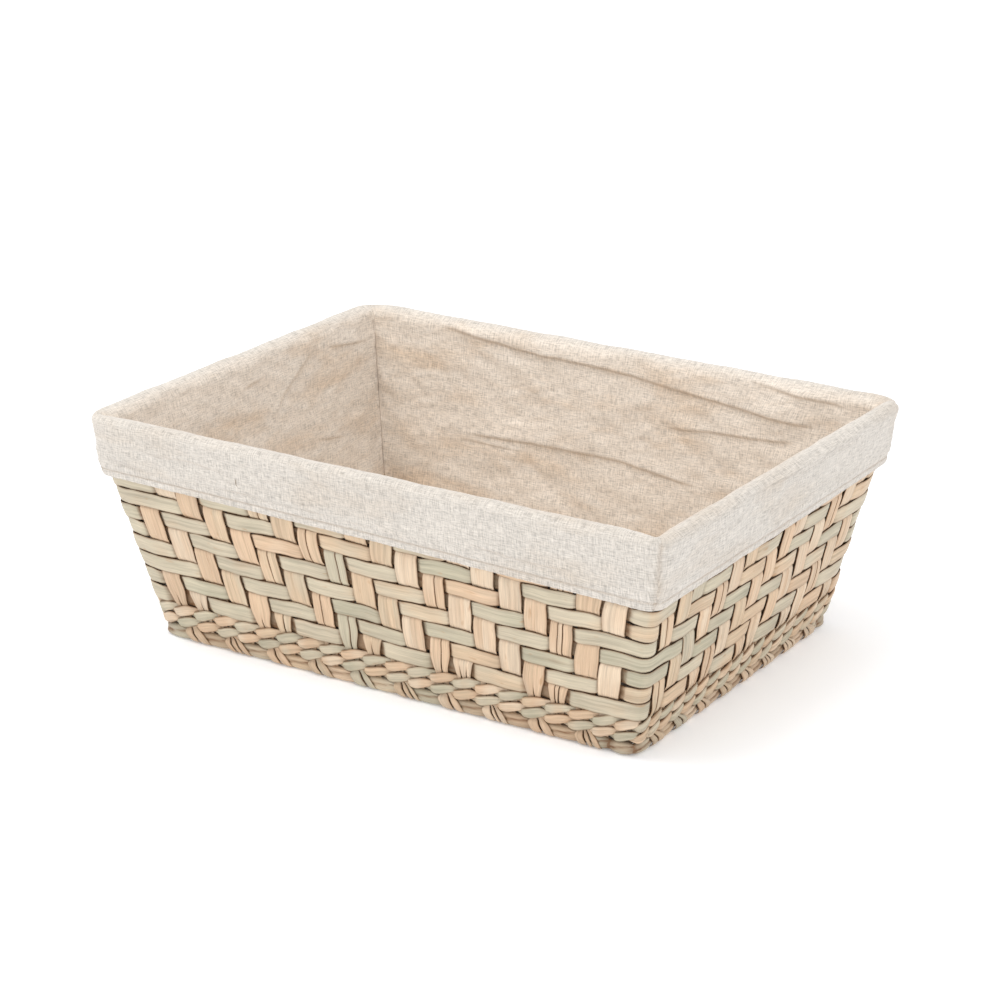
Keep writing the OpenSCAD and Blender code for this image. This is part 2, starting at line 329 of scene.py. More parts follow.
class Tree:
    """A new material, with its shader nodes made one call each."""

    def __init__(self, name):
        self.material = bpy.data.materials.new(name)
        self.material.use_nodes = True
        self.nodes, self.links = self.material.node_tree.nodes, self.material.node_tree.links
        self.shader = self.nodes["Principled BSDF"]

    def feed(self, socket, value):
        if isinstance(value, bpy.types.NodeSocket):
            self.links.new(value, socket)
        else:
            socket.default_value = rgba(value) if isinstance(value, tuple) else value

    def settle(self, **values):
        """Sets or links the shader's inputs, named with _ for a space."""
        for name, value in values.items():
            self.feed(self.shader.inputs[name.replace("_", " ")], value)

    def node(self, kind, output, inputs=(), **settings):
        """A new node's output, once its settings are made and its inputs fed."""
        node = self.nodes.new("ShaderNode" + kind)
        for name, value in settings.items():
            setattr(node, name, value)
        for name, value in dict(inputs).items():
            self.feed(node.inputs[name], value)
        return node.outputs[output]

    def strip_uv(self):
        return self.node("UVMap", "UV", uv_map="strip")

    def attribute(self, name):
        return self.node("Attribute", "Fac", attribute_name=name)

    def math(self, kind, *values, clamp=False):
        return self.node("Math", 0, enumerate(values), operation=kind, use_clamp=clamp)

    def noise(self, vector, scale, detail=2.0, rough=0.5):
        inputs = {"Vector": vector, "Scale": scale, "Detail": detail, "Roughness": rough}
        return self.node("TexNoise", "Fac", inputs)

    def grain(self, uv, across, along, detail=2.0, rough=0.5):
        """Noise with so many features to a metre across the strip and along it."""
        place = self.node("Mapping", "Vector", {"Vector": uv, "Scale": Vector((across, along, 1))})
        return self.noise(place, 1.0, detail, rough)

    def mix(self, kind, amount, a, b):
        return self.node("Mix", 2, {0: amount, 6: a, 7: b}, data_type="RGBA", blend_type=kind)

    def ramp(self, value, *stops):
        """Stops are (place, colour or grey)."""
        node = self.nodes.new("ShaderNodeValToRGB")
        elements = node.color_ramp.elements
        elements[0].position, elements[0].color = stops[0][0], rgba(stops[0][1])
        elements[1].position, elements[1].color = stops[-1][0], rgba(stops[-1][1])
        for place, color in stops[1:-1]:
            elements.new(place).color = rgba(color)
        self.links.new(value, node.inputs["Fac"])
        return node.outputs["Color"]

    def tinted(self, color, amount, value, *stops):
        """The colour multiplied by a ramp over value."""
        return self.mix("MULTIPLY", amount, color, self.ramp(value, *stops))

    def span(self, value, low, high):
        """0 below low, 1 above high."""
        return self.node("MapRange", "Result", {"Value": value, "From Min": low, "From Max": high})

    def relief(self, height, strength, distance):
        inputs = {"Height": height, "Strength": strength, "Distance": distance}
        self.settle(Normal=self.node("Bump", "Normal", inputs))


CREAM = (0.725, 0.575, 0.42)
PEACH = (0.67, 0.475, 0.315)
TAN = (0.63, 0.475, 0.32)
PALE_SAGE = (0.605, 0.52, 0.385)
SAGE = (0.485, 0.44, 0.32)
OCHRE = (0.45, 0.26, 0.13)
# Colour of worn edges, of the bruise, and of the painted shade in the gaps between strips
DARK_WEAR_AND_SHADE = (0.17, 0.07, 0.02)


def leaf_material(name):
    """Dry leaf: a tone from peach to sage for each strip, fibres, streaks, stains, and dark edges that
    are partly wear and partly painted shade of the gaps.
    """
    tree = Tree(name)
    uv = tree.strip_uv()
    tone, shade, edge = (tree.attribute(n) for n in ("tone", "shade", "edge"))
    fibre = tree.grain(uv, 2600, 60, 3, 0.6)
    streak = tree.grain(uv, 520, 14, 3, 0.55)
    patch = tree.grain(uv, 90, 22)
    blotch = tree.grain(uv, 260, 75)
    tone = tree.math("ADD", tone, tree.math("MULTIPLY_ADD", patch, 0.5, -0.25), clamp=True)
    color = tree.ramp(tone, (0.0, CREAM), (0.22, PEACH), (0.45, TAN), (0.62, PALE_SAGE), (1.0, SAGE))
    color = tree.tinted(color, 1.0, streak, (0.26, 0.72), (0.48, 0.97), (0.75, 1.12))
    color = tree.tinted(color, 0.7, fibre, (0.3, 0.74), (0.7, 1.12))
    stain = tree.math("MULTIPLY", tree.span(blotch, 0.66, 0.76), 0.6)
    color = tree.mix("MIX", stain, color, OCHRE)
    color = tree.node("VectorMath", 0, {0: color, "Scale": shade}, operation="SCALE")
    # Darker edges, partly wear and partly painted shade; the darkest painted shade where a strip lies
    # hidden under another and on its cut edge faces
    wear_and_gap_shade = tree.math("MULTIPLY", edge, tree.ramp(blotch, (0.36, 0.34), (0.6, 0.88)))
    painted_hidden_shade = tree.math("MULTIPLY", tree.span(edge, 0.8, 1.0), 0.86)
    color = tree.mix("MIX", tree.math("MAXIMUM", wear_and_gap_shade, painted_hidden_shade), color, DARK_WEAR_AND_SHADE)
    rough = tree.ramp(streak, (0.3, 0.62), (0.7, 0.46))
    tree.settle(Base_Color=color, Roughness=rough, Specular_IOR_Level=0.35)
    tree.relief(tree.math("ADD", tree.math("MULTIPLY", fibre, 0.5), streak), 0.6, 0.16 * MM)
    return tree.material


LINEN = (0.595, 0.55, 0.495)
# The inner face of the same linen, painted brighter and warmer: painted light
LINEN_INSIDE_PAINTED_LIGHT = (0.70, 0.625, 0.545)
# Painted shade for the linen's creases, seam dips and stitch groove; the stitches are mixed towards it
# too
LINEN_PAINTED_SHADE = (0.37, 0.275, 0.19)
DARK_THREAD = (0.10, 0.085, 0.075)


def linen_material(name, outside, inside_painted_light):
    """Plain-woven linen: threads both ways, slubs, flecks, and painted light: the same cloth brighter
    and warmer inside the basket.
    """
    tree = Tree(name)
    uv = tree.strip_uv()
    inside, crease = tree.attribute("tone"), tree.attribute("edge")
    weft = tree.grain(uv, 190, 1750, 2, 0.6)
    warp = tree.grain(uv, 1650, 170, 2, 0.6)
    slub = tree.grain(uv, 28, 420, 2, 0.6)
    fleck = tree.grain(uv, 1150, 1150, 1)
    cloud = tree.grain(uv, 13, 38, 3, 0.6)
    threads = tree.math("MULTIPLY", tree.math("ADD", weft, warp), 0.5)
    # Painted light: the inner wall takes the brighter, warmer inside colour
    color = tree.mix("MIX", inside, outside, inside_painted_light)
    color = tree.tinted(color, 0.85, threads, (0.36, 0.60), (0.5, 1.0), (0.64, 1.26))
    color = tree.tinted(color, 0.35, fleck, (0.3, (0.82, 0.76, 0.69)), (0.45, 1.0), (0.75, 1.1))
    clouded = tree.math("MULTIPLY_ADD", inside, 0.6, 0.5)
    stops = (0.3, (0.92, 0.84, 0.755)), (0.5, 1.0), (0.72, 1.07)
    color = tree.tinted(color, clouded, cloud, *stops)
    color = tree.tinted(color, 0.7, slub, (0.3, 0.93), (0.7, 1.06))
    # Painted shade in the creases, seam dips and stitch groove; the stitches take this darkening too
    color = tree.mix("MIX", tree.math("MULTIPLY", crease, 0.6), color, LINEN_PAINTED_SHADE)
    tree.settle(
        Base_Color=color, Roughness=0.92, Specular_IOR_Level=0.15, Sheen_Weight=0.25, Sheen_Roughness=0.6
    )
    tree.relief(tree.math("ADD", threads, slub), 0.55, 0.25 * MM)
    return tree.material


LEAF = leaf_material("dry_leaf")
CLOTH = linen_material("linen", LINEN, LINEN_INSIDE_PAINTED_LIGHT)
CLOTH_DARK = linen_material("dark_thread", DARK_THREAD, DARK_THREAD)

# ---------------------------------------------------------------- camera, light, floor
VIEW_AZIMUTH, VIEW_ELEVATION, VIEW_ROLL = (math.radians(a) for a in (32.5, 19.74, 0.24))
VIEW_DISTANCE = 1.6124
LENS = 103.9
AIM_OFFSET = Vector((-14.35, 25.05, 0.03)) * MM  # from the CAD box's middle
LIGHTS_AIM = Vector((0, 0, 0.06))
FLOOR_R, FLOOR_CORNERS = 9.0, 23
FLOOR_GLOW = 0.165  # lifts the floor to white outside the basket's shadow


def make_camera():
    data = bpy.data.cameras.new("camera")
    data.lens = LENS
    data.sensor_width = 36
    data.clip_end = 50
    camera = placed("camera", data)
    level = math.cos(VIEW_ELEVATION)
    across, along = math.sin(VIEW_AZIMUTH) * level, -math.cos(VIEW_AZIMUTH) * level
    back = Vector((across, along, math.sin(VIEW_ELEVATION)))
    aim = (CAD_BOX[0] + CAD_BOX[1]) / 2 + AIM_OFFSET
    turn = (-back).to_track_quat("-Z", "Y").to_matrix() @ Matrix.Rotation(VIEW_ROLL, 3, "Z")
    camera.matrix_world = Matrix.Translation(aim + back * VIEW_DISTANCE) @ turn.to_4x4()
    bpy.context.scene.camera = camera


def area_light(name, place, size, power, color=(1, 1, 1)):
    data = bpy.data.lights.new(name, "AREA")
    data.shape = "DISK"
    data.size = size
    data.energy = power
    data.color = color
    light = placed(name, data)
    light.location = place
    light.rotation_mode = "QUATERNION"
    light.rotation_quaternion = (LIGHTS_AIM - Vector(place)).to_track_quat("-Z", "Y")


def make_studio():
    world = bpy.data.worlds.new("studio")
    bpy.context.scene.world = world
    world.use_nodes = True
    background = world.node_tree.nodes["Background"]
    background.inputs["Color"].default_value = (1, 1, 1, 1)
    background.inputs["Strength"].default_value = 1.03
    area_light("key", (-0.7, -0.5, 2.0), 1.7, 19, (1, 0.99, 0.975))
    area_light("fill", (1.7, -1.3, 1.2), 1.4, 3)
    mesh = bpy.data.meshes.new("floor")
    turns = np.linspace(0, 2 * math.pi, FLOOR_CORNERS + 1)[:-1]
    ring = [(FLOOR_R * math.cos(a), FLOOR_R * math.sin(a), 0) for a in turns]
    mesh.from_pydata(ring, [], [list(range(FLOOR_CORNERS))])
    paper = Tree("paper")
    cloudy = paper.noise(paper.node("NewGeometry", "Position"), 3.0)
    pale = paper.ramp(cloudy, (0.3, (0.915, 0.93, 0.955)), (0.7, (0.935, 0.95, 0.975)))
    paper.settle(
        Base_Color=pale, Roughness=0.9, Specular_IOR_Level=0.1, Emission_Color=(1, 1, 1),
        Emission_Strength=FLOOR_GLOW,
    )
    mesh.materials.append(paper.material)
    placed("floor", mesh)
    bpy.context.scene.view_settings.view_transform = "Standard"


make_camera()
make_studio()

# ---------------------------------------------------------------- the weave
SCAR_ROW, SCAR_S = 7, 110 * MM  # a rust-brown bruise on the front of one weft
WEFT_H = 8.9 * MM
STEP = 1.6 * MM  # from one station of a weft to the next
TURN_HALF = 2.5 * MM  # half the length over which a strip changes sides
WEFT_TONES, WEFT_SHARES = (0.95, 0.82, 0.70, 0.58, 0.42, 0.26), (0.13, 0.2, 0.27, 0.23, 0.11, 0.06)
FIRST_TONE = 0.7


def weft_ring(r):
    """One weft row, right round the basket."""
    z0 = ROW_Z[r]
    lowest = r == ROWS - 1  # sits down on the twined bands
    jut = np.random.default_rng(240 + 10 * r).uniform(-0.5, 0.9, 4) * MM  # of each corner
    value = FIRST_TONE
    parts = []
    for k, s, end, along in round_basket(z0, STEP):
        n = STAKES[k]
        states = [1] + [1 if is_outside(k, j, r) else -1 for j in range(n)] + [1]
        edges = [stake_s(k, q, z0) for q in (-0.62, *np.arange(0.5, n - 1), n - 0.38)]
        side = stepping(s, states, edges, TURN_HALF)
        bow, pinch = np.zeros_like(s), np.zeros_like(s)
        for a, b, e in zip(states, states[1:], edges):
            if a == b:
                bow += a * FLOAT_BOW * bump(s, e, 7 * MM)
            else:
                pinch += bump(s, e + a * 1.2 * MM, 3.4 * MM)
        bow += jut[k] * bump(s, -end, 11 * MM) + jut[(k + 1) % 4] * bump(s, end, 11 * MM)
        # The top row closes up to the rim at the corners, where the rim is slimmer
        taller = 3.6 * MM * bump(end - np.abs(s), 0, 13 * MM) * (r == 0)
        height = WEFT_H * (1 + 0.025 * wander(along, 100 + r, 50 * MM)) - 1.1 * MM * pinch
        height = height + 1.2 * MM * lowest + taller
        centre = z0 + 0.35 * MM * wander(along, 130 + r, 45 * MM) - 0.25 * MM * pinch
        centre = centre - 0.6 * MM * lowest + taller / 2
        crease = folds(along, 170 + r, 2, 0.10 * MM) * side[:, None]
        offs = ribbon_off(side * RELIEF + bow, side * 0.28 * MM, crease)
        u = np.broadcast_to(LOOP_U, offs.shape)
        z = centre[:, None] + u * height[:, None] / 2
        grid = hand_made(wall_at(k, s / end, z, offs))
        tone, value = weft_tone(s, k, r, states, edges, value)
        parts.append((grid, u * WEFT_H / 2, along, tone, painted_gap_shade(side)))
    grid, across, along, tone, under = joined(parts)
    shade = 0.99 + 0.07 * wander(along, 210 + r, 90 * MM)
    # The strip's darker edges, partly wear and partly painted shade, and painted shade where it passes
    # under a stake
    edge = np.clip(EDGE_WEAR_AND_SHADE + under, 0, 1)
    if r == SCAR_ROW:
        shape = bump(along - corner_s(0, z0), SCAR_S, 9 * MM)[:, None]
        edge = np.clip(edge + 0.5 * shape * bump(LOOP_U, 0.15, 0.3), 0, 1)
    leaf_ring(f"weft_row_{r + 1:02d}", grid, across, along, tone, shade, edge, 3 + r)


def weft_tone(s, k, r, states, edges, value):
    """Each float has its own tone: new leaves are laid in where the old ones end, out of sight.
    Starts from the tone value that comes round the corner, and returns the one that goes on."""
    rng = np.random.default_rng(300 + 10 * r + k)
    tone = np.zeros_like(s)
    cuts = [-1.0] + [(a + b) / 2 for a, b in zip(edges, edges[1:])] + [1.0]
    last_under = max(i for i, state in enumerate(states[:-1]) if state < 0)
    for i, (a, b, state) in enumerate(zip(cuts, cuts[1:], states)):
        if state < 0 and rng.random() < 0.75:
            value = rng.choice(WEFT_TONES, p=WEFT_SHARES)
        if k == 3 and i == last_under:  # the ring closes in the tone that it began in
            value = FIRST_TONE
        tone = np.where((s >= a) & (s < b), value, tone)
    return tone + 0.07 * wander(s, 330 + 4 * r + k, 60 * MM), value


STAKE_COVER = 0.81  # share of the pitch that a stake's width takes up
STAKE_TONES, STAKE_SHARES = (0.06, 0.16, 0.28, 0.42, 0.66, 0.85), (0.24, 0.26, 0.2, 0.14, 0.1, 0.06)
PLY_COUNTS, PLY_SHARES = (2, 3), (0.65, 0.35)
MERGED_SHARE = 0.72  # of the stakes are one leaf, which only parts where it is gathered
FOOT_LEAN = 6.5 * MM  # how far the stakes slant along the foot's core
FOOT_OUT, FOOT_IN = 1.75 * MM, -4.2 * MM  # where stakes pass the foot's core, outside and inside it


def stake_stations():
    low = np.linspace(0.35 * MM, BAND_Z[0], 22)
    high = np.linspace(BAND_Z[0], ROLL_Z + 0.4 * MM, 84)
    return np.concatenate([low, high[1:]])


def stake(strips, k, j):
    """One stake: up through the rows, to the rim and down over or behind the foot's core."""
    rng = np.random.default_rng(1000 + 50 * k + j)
    z = stake_stations()
    rows = list(range(ROWS - 1, -1, -1))
    states = [0] + [-1 if is_outside(k, j, r) else 1 for r in rows] + [0]
    edges = [ROW_Z[-1] - 0.56 * ROW_PITCH]
    edges += [(ROW_Z[a] + ROW_Z[b]) / 2 for a, b in zip(rows, rows[1:])]
    edges += [ROW_Z[0] + 0.55 * ROW_PITCH]
    side = stepping(z, states, edges, TURN_HALF)
    bow, swell = np.zeros_like(z), np.zeros_like(z)
    for a, b, e in zip(states, states[1:], edges):
        if a == b:
            bow += a * FLOAT_BOW * bump(z, e, 6 * MM)
            swell += bump(z, e, 6.5 * MM)
    foot_out = j % 2 == 0
    foot_off = FOOT_OUT if foot_out else FOOT_IN
    to_foot = 1 - smooth((z - (FOOT_H - 2.2 * MM)) / (3.6 * MM))
    under = foot_out * smooth((1.8 * MM - z) / (1.6 * MM))
    to_rim = smooth((z - (ROLL_Z - 5 * MM)) / (4 * MM))
    mid = side * RELIEF + bow
    mid = mid * (1 - to_foot) + foot_off * to_foot - 1.7 * MM * under
    mid = mid + foot_out * 0.9 * MM * bump(z, 4.5 * MM, 2.6 * MM)
    mid = mid * (1 - to_rim) + 0.55 * MM * to_rim
    gather = 1 - smooth((z - (BAND_Z[0] + 1.5 * MM)) / (15 * MM))
    cover = STAKE_COVER + 0.07 * swell + 0.02 * rng.standard_normal()
    foot_wide = (0.98 if foot_out else 0.5) * to_foot + 0.56 * (1 - to_foot)
    half = stake_pitch(k, z) / 2 * (cover * (1 - gather) + foot_wide * gather)
    drift = 0.45 * MM * wander(z, 1500 + 50 * k + j, 70 * MM) * (1 - gather)
    lean = smooth((BAND_Z[1] + 2 * MM - z) / (BAND_Z[1] + 1 * MM)) * (1 if foot_out else -0.7)
    centre = stake_s(k, j, z) + drift + FOOT_LEAN * lean
    merged = rng.random() < MERGED_SHARE
    plies = int(rng.choice(PLY_COUNTS, p=PLY_SHARES))
    cuts = np.linspace(-1, 1, plies + 1)
    cuts[1:-1] += rng.uniform(-0.22, 0.22, plies - 1)
    tone0 = rng.choice(STAKE_TONES, p=STAKE_SHARES)
    shade0 = rng.uniform(0.93, 1.07)
    for i in range(plies):
        open_gap = 0.09 * gather + (0.0 if merged else 0.03) * (1 - gather)
        a = cuts[i] + open_gap * (i > 0)
        b = cuts[i + 1] - open_gap * (i < plies - 1)
        ply_mid, ply_half = (a + b) / 2, (b - a) / 2
        # One leaf above the gathering: its plies overlap there, so no gap shows
        join = (1 - gather) * (0.05 if merged else 0.0)
        ply_half = ply_half + join * (plies > 1)
        u = np.broadcast_to(LOOP_U, (len(z), len(LOOP_U)))
        full = ply_mid[:, None] + u * ply_half[:, None]
        crown_w = np.clip(ply_half, 0.2, 1)
        crown = (np.where(side + to_foot * foot_out > 0, 1.0, -0.4)) * 0.30 * MM * crown_w
        crown = crown * (1 - 0.7 * merged * (1 - gather)) + (0.25 + 0.2 * to_foot) * MM * gather
        layer = (i % 2) * 0.10 * MM * (1 - gather)
        crease = folds(z, 2000 + 60 * k + 3 * j + i, 2 if merged else 1, 0.26 * MM)
        crease -= 0.16 * MM * np.sign(side)[:, None] * full**2 * (1 - gather)[:, None]
        offs = ribbon_off(mid + layer, crown, crease)
        s = centre[:, None] + full * half[:, None]
        zz = np.broadcast_to(z[:, None], s.shape)
        grid = hand_made(wall(k, s, zz, offs))
        edge = np.broadcast_to(EDGE_WEAR_AND_SHADE, s.shape).copy()
        if merged:  # the plies' inner edges are one leaf's fold, so they stay light
            inner = (LOOP_U < 0) & (i > 0) | (LOOP_U > 0) & (i < plies - 1)
            edge *= 1 - inner * (1 - 0.6 * gather[:, None])
        # Painted shade where the stake passes under a weft
        edge = np.clip(edge + painted_gap_shade(side) * ((1 - gather) * (1 - to_rim))[:, None], 0, 1)
        tone = tone0 + rng.uniform(-0.05, 0.05) + 0.04 * wander(z, 900 + j, 60 * MM)
        shade = shade0 * (1 + rng.uniform(-0.03, 0.03)) * (1 - 0.10 * gather)
        seed = 40 + 23 * k + j + 0.3 * i
        strips.add(grid, full * half.mean(), z, False, tone[:, None], shade[:, None], edge, seed)


def stake_panel(k):
    strips = Strips()
    for j in range(STAKES[k]):
        stake(strips, k, j)
    strips.build(f"stakes_{SIDES[k]}_leaf", LEAF, "basket", [f"stakes_{SIDES[k]}"])


TWINE_H, TWINE_T, TWINE_RISE, TWINE_OFF = 6.4 * MM, 2.6 * MM, 1.45 * MM, 1.4 * MM
TWINE_LIFT = (0.7 * MM, 0.1 * MM)  # of each band above the CAD's
TWINE_LOOP = 24
RIM_CORE_R = 3.5 * MM
RIM_SLIM_REACH = 12 * MM  # from a corner, over which the rim grows slimmer
BINDING_R = 4.35 * MM
BINDING_PITCH, BINDING_W = 9.5 * MM, 8.2 * MM
BINDING_STEPS = 22  # to each turn


def twine_strand(band, lead):
    """One strand of a twined band: it climbs outside one stake and falls inside the next."""
    z0 = BAND_Z[band] + TWINE_LIFT[band]
    turn = 1 if lead else -1
    a = np.linspace(0, 2 * math.pi, TWINE_LOOP, endpoint=False)
    parts = []
    for k, s, end, along in round_basket(z0, 0.9 * MM):
        n = STAKES[k]
        stops = [stake_s(k, j, z0) for j in range(n)]
        q = np.interp(s, [-end, *stops, end], [-1.5, *range(n), n + 0.5])
        wave, rise = turn * np.cos(math.pi * q), turn * np.sin(math.pi * q)
        shape = np.sign(wave) * np.abs(wave) ** 0.5
        swell = 0.62 + 0.38 * np.clip(wave, 0, 1) ** 0.7
        size = 1 + 0.07 * wander(along, 400 + 3 * band + lead, 33 * MM)
        u = np.cos(a) * (TWINE_H / 2 * swell * size)[:, None]
        w = np.sin(a) * (TWINE_T / 2 * (0.9 + 0.1 * swell))[:, None]
        place = 0.35 * wander(along, 480 + 2 * band + lead, 24 * MM)[:, None]
        face = np.cos(a)
        groove = 0.42 * MM * bump(face, place, 0.17) + 0.3 * MM * bump(face, place - 0.55, 0.13)
        z = z0 + (TWINE_RISE * rise)[:, None] + u
        off = (TWINE_OFF * shape)[:, None] + w - groove * np.clip(np.sin(a), 0, 1)
        parts.append((hand_made(wall_at(k, s / end, z, off)), u, along, wave))
    grid, across, along, wave = joined(parts)
    pale = lead == (band == 0)
    tone = (0.20 if pale else 0.74) + 0.22 * wander(along, 520 + 2 * band + lead, 45 * MM)
    # Painted shade at the strand's upper and lower edges, where it meets the next strand, and where it
    # passes behind a stake
    edge = np.clip(np.abs(np.cos(a)) - 0.72, 0, 1) / 0.28
    edge = np.clip(edge + 0.6 * np.clip(-wave, 0, 1)[:, None], 0, 1)
    node = f"twine_{('upper', 'lower')[band]}_{'a' if lead else 'b'}"
    leaf_ring(node, grid, across, along, tone, 0.98, edge, 11 + 2 * band + lead)


def rim_core():
    """The ridged bundle of leaf that the cloth rolls over, slimmer at the corners."""
    a = np.linspace(0, 2 * math.pi, 20, endpoint=False)
    parts = []
    for k, s, end, along in round_basket(ROLL_Z, 2 * MM):
        lump = 1 + 0.05 * wander(along, 607, 25 * MM)
        lump = lump - 0.3 * bump(end - np.abs(s), 0, RIM_SLIM_REACH)
        ridge = 1 + 0.05 * np.sin(7 * a + 3 * wander(along, 620, 90 * MM)[:, None])
        r = (RIM_CORE_R * lump)[:, None] * ridge
        off, z = ROLL_OFF + r * np.cos(a), ROLL_Z + r * np.sin(a)
        parts.append((wall_at(k, s / end, z, off), along))
    grid, along = joined(parts)
    tone = 0.6 + 0.2 * wander(along, 660, 120 * MM)
    shade = 0.85 + 0.1 * wander(along, 661, 60 * MM)
    leaf_ring("rim_core", grid, a * RIM_CORE_R, along, tone, shade, 0.0, 5)


def foot_core():
    """The foot's bundle: a pillow of leaf between each stake that wraps it and the next."""
    rng = np.random.default_rng(650)
    a = np.linspace(0, 2 * math.pi, 24, endpoint=False)
    z0 = FOOT_H / 2 + 0.1 * MM
    parts = []
    for k, s, end, along in round_basket(z0, 1.2 * MM):
        wraps = [stake_s(k, j, z0) + 0.5 * FOOT_LEAN for j in range(0, STAKES[k], 2)]
        if end - wraps[-1] > 16 * MM:
            wraps.append((wraps[-1] + end) / 2)
        knots = [-end, *wraps, end]
        phase = np.interp(s, knots, range(len(knots)))
        part, index = phase % 1, phase.astype(int)
        pillow = np.sin(math.pi * part) ** 1.2
        tone = rng.choice([0.12, 0.30, 0.42, 0.55, 0.8], len(knots) + 1)[index]
        shade = rng.uniform(0.78, 1.08, len(knots) + 1)[index]
        slant = 0.9 * (part - 0.5)[:, None]
        gap = bump(a, slant + 0.25, 0.16) + bump(a - 2 * math.pi, slant + 0.1, 0.14)
        swell = (0.56 + 0.54 * pillow)[:, None]
        off = -1.2 * MM + 3.3 * MM * swell * np.cos(a) - 0.8 * MM * gap
        z = z0 + FOOT_H / 2 * (0.74 + 0.27 * pillow)[:, None] * np.sin(a)
        grid = hand_made(wall_at(k, s / end, np.maximum(z, 0.2 * MM), off))
        # Painted shade in the gaps between the pillows and in the grooves of the wrapping stakes
        edge = np.clip(1.3 * gap + 1.2 * (1 - pillow)[:, None] ** 1.6, 0, 1)
        parts.append((grid, along, tone, shade, edge))
    grid, along, tone, shade, edge = joined(parts)
    leaf_ring("foot_core", grid, a * 2.5 * MM, along, tone, shade, edge, 5)


def rim_binding():
    """A leaf strip wound round the rim's core, turn beside turn."""
    ends = [corner_s(k, ROLL_Z) for k in range(4)]
    starts = np.cumsum([0, *[2 * e for e in ends]])
    total = 2 * sum(ends)
    turns = round(total / BINDING_PITCH)
    t = np.arange(turns * BINDING_STEPS) / BINDING_STEPS
    u = np.concatenate([np.linspace(-1, 1, 7), np.linspace(1, -1, 7)])
    layer = np.concatenate([np.ones(7), -np.ones(7)])
    ring = (t[:, None] * total / turns + u * BINDING_W / 2) % total
    k_at = np.clip(np.searchsorted(starts, ring, side="right") - 1, 0, 3)
    turn = 2 * math.pi * t[:, None]
    r = BINDING_R + layer * 0.22 * MM + 0.18 * MM * (0.5 - u**2)
    grid = np.zeros((*ring.shape, 3))
    for k in range(4):
        s = ring - starts[k] - ends[k]
        slim = r - 1.35 * MM * bump(ends[k] - np.abs(s), 0, RIM_SLIM_REACH)
        points = wall(k, s, ROLL_Z + slim * np.sin(turn), ROLL_OFF + slim * np.cos(turn))
        grid = np.where((k_at == k)[..., None], points, grid)
    along = t * 2 * math.pi * BINDING_R
    tone = 0.55 + 0.3 * wander(t, 700, 30)
    # Darker edges of each turn, as on the other strips: partly wear, partly painted shade between turns
    edge = np.clip(np.abs(u) - 0.7, 0, 1) / 0.3
    leaf_ring("rim_binding", grid, u * BINDING_W / 2, along, tone, 0.95, edge, 9)


BASE_NAMES = (("base_strips_long", "weft_leaf"), ("base_strips_cross", "stake_leaf"))
BASE_Z = sum(p.z for name, _ in BASE_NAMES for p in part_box(name)) / 4


def base_panel(along_x):
    """One direction of the base's strips, over and under the other's in the same twill."""
    strips = Strips()
    k, other = (1, 0) if along_x else (0, 1)
    n, m = STAKES[k], STAKES[other]
    name, slot = BASE_NAMES[not along_x]
    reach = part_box(name)[1][0 if along_x else 1]
    pitch, cross_pitch = float(stake_pitch(k, BASE_Z)), float(stake_pitch(other, BASE_Z))
    x = np.linspace(-reach, reach, int(2 * reach / (2.2 * MM)))
    for j in range(n):
        over = [1 if ((i + j) % 4 < 2) == along_x else -1 for i in range(m)]
        edges = [(i + 1 - m / 2) * cross_pitch for i in range(m - 1)]
        side = stepping(x, over, edges, 2.4 * MM)
        offs = ribbon_off(side * 0.42 * MM, side * 0.12 * MM, 0.0, 0.5 * MM)
        across = np.broadcast_to(LOOP_U * pitch * 0.43, offs.shape)
        y = (j - (n - 1) / 2) * pitch + across
        y = y + 0.3 * MM * wander(x, 800 + 20 * k + j, 80 * MM)[:, None]
        xs = np.broadcast_to(x[:, None], offs.shape)
        grid = np.stack([xs, y, BASE_Z + offs] if along_x else [y, xs, BASE_Z + offs], -1)
        rng = np.random.default_rng(820 + 20 * k + j)
        tone = rng.uniform(0.5, 0.95) if along_x else rng.uniform(0.1, 0.5)
        shade = rng.uniform(0.85, 1)
        strips.add(grid, across, x, False, tone, shade, EDGE_WEAR_AND_SHADE, 60 + 20 * k + j)
    strips.build(name + "_leaf", LEAF, "basket", [name])


for row in range(ROWS):
    weft_ring(row)
for side in range(4):
    stake_panel(side)
for band in (0, 1):
    for lead in (True, False):
        twine_strand(band, lead)
foot_core()
rim_core()
rim_binding()
base_panel(True)
base_panel(False)

# ---------------------------------------------------------------- the liner
CLOTH_T = 0.45 * MM
FLOOR_Z = sum(p.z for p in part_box("liner_floor")) / 2
WALL_FOOT = (-5.65 * MM, FLOOR_Z)  # where the cloth's path starts: (off, z)
ROLL_R = 5.72 * MM
CUFF_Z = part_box("cuff_front")[0].z
HEM_H, STITCH_H = 6.5 * MM, 4.2 * MM  # of the hem, and of its stitching, above the cuff's lower edge
OUTWARD = np.array([[1.0, 0.0]])  # the path's normal on the cuff
# The cuff's lower edge above or below the CAD's, at the left end, middle and right end of a side
HEM_DROOP = ((2.6, 0.4, -3.2), (-3.2, -1.4, 1.0), (1.0, 0.3, 1.6), (1.6, 1.2, 2.6))

